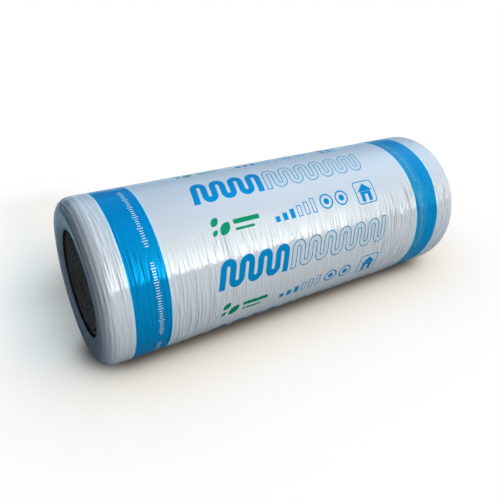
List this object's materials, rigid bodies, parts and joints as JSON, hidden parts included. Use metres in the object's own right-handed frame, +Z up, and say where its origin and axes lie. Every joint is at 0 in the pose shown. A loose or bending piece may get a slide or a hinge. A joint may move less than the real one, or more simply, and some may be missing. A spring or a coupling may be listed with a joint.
{
  "type": "insulation roll",
  "caption": "Compressed roll of dark mineral-wool insulation in glossy printed film, lying on its side, with a round opening at each end where the wound turns show.",
  "frame": {"origin": "on the floor under the middle of the roll", "axes": "+X along the roll's axis, +Z up; the roll lies on its side"},
  "size_m": [1.2, 0.446, 0.446],
  "materials": {
    "film": "glossy opaque white packing film, tightly wrapped and finely wrinkled, printed with two blue bands and rows of small blue and green motifs",
    "wool": "dark brown-grey mineral wool, matt and fibrous, with the edges of its wound turns showing"
  },
  "bodies": {
    "root": {"film_wrapper": "film", "wool_roll": "wool"}
  },
  "joints": []
}
